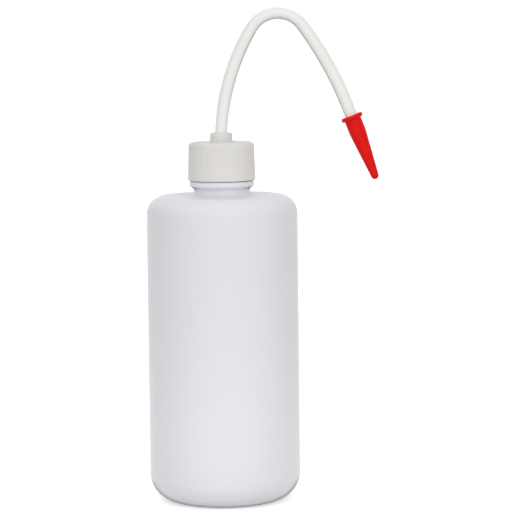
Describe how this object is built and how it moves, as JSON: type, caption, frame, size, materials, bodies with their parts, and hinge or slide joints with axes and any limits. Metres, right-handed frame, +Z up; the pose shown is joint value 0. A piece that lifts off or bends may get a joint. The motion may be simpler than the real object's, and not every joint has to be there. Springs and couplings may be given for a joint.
{
  "type": "wash bottle",
  "caption": "Round squeeze bottle with a ribbed screw cap, a bent tube that runs from the base over a crown to a drawn jet, and a push-on tip cap.",
  "frame": {"origin": "middle of the base on the bottle's axis, in the plane of the standing ring", "axes": "+Z up the bottle's axis, +X the way the spout bends over, +Y to the back"},
  "size_m": [0.1153, 0.075, 0.2447],
  "materials": {
    "ldpe_bottle": "satin, milky and translucent",
    "foam_seal": "matt",
    "cap_plastic": "satin",
    "ldpe_tube": "satin, milky and translucent",
    "red_tip": "gloss"
  },
  "bodies": {
    "bottle": {"bottle": "ldpe_bottle"},
    "seal": {"sealing_washer": "foam_seal"},
    "cap": {"screw_cap": "cap_plastic"},
    "spout": {"delivery_tube": "ldpe_tube"},
    "tip": {"tip_cap": "red_tip"}
  },
  "joints": [
    {"name": "cap_rise", "type": "slide", "parent": "bottle", "child": "seal", "axis": [0, 0, 1], "range_m": [0, 0.00635]},
    {"name": "cap_turn", "type": "hinge", "parent": "seal", "child": "cap", "pos_m": [0, 0, 0.1771], "axis": [0, 0, 1], "range_deg": [0, 540]},
    {"name": "spout_swivel", "type": "hinge", "parent": "cap", "child": "spout", "pos_m": [0, 0, 0.1771], "axis": [0, 0, 1], "continuous": true},
    {"name": "tip_pull", "type": "slide", "parent": "spout", "child": "tip", "axis": [0.36, 0, -0.933], "range_m": [0, 0.04]}
  ],
  "couplings": [
    {"joint": "cap_rise", "follows": "cap_turn", "m_per_rad": 0.00067322}
  ]
}
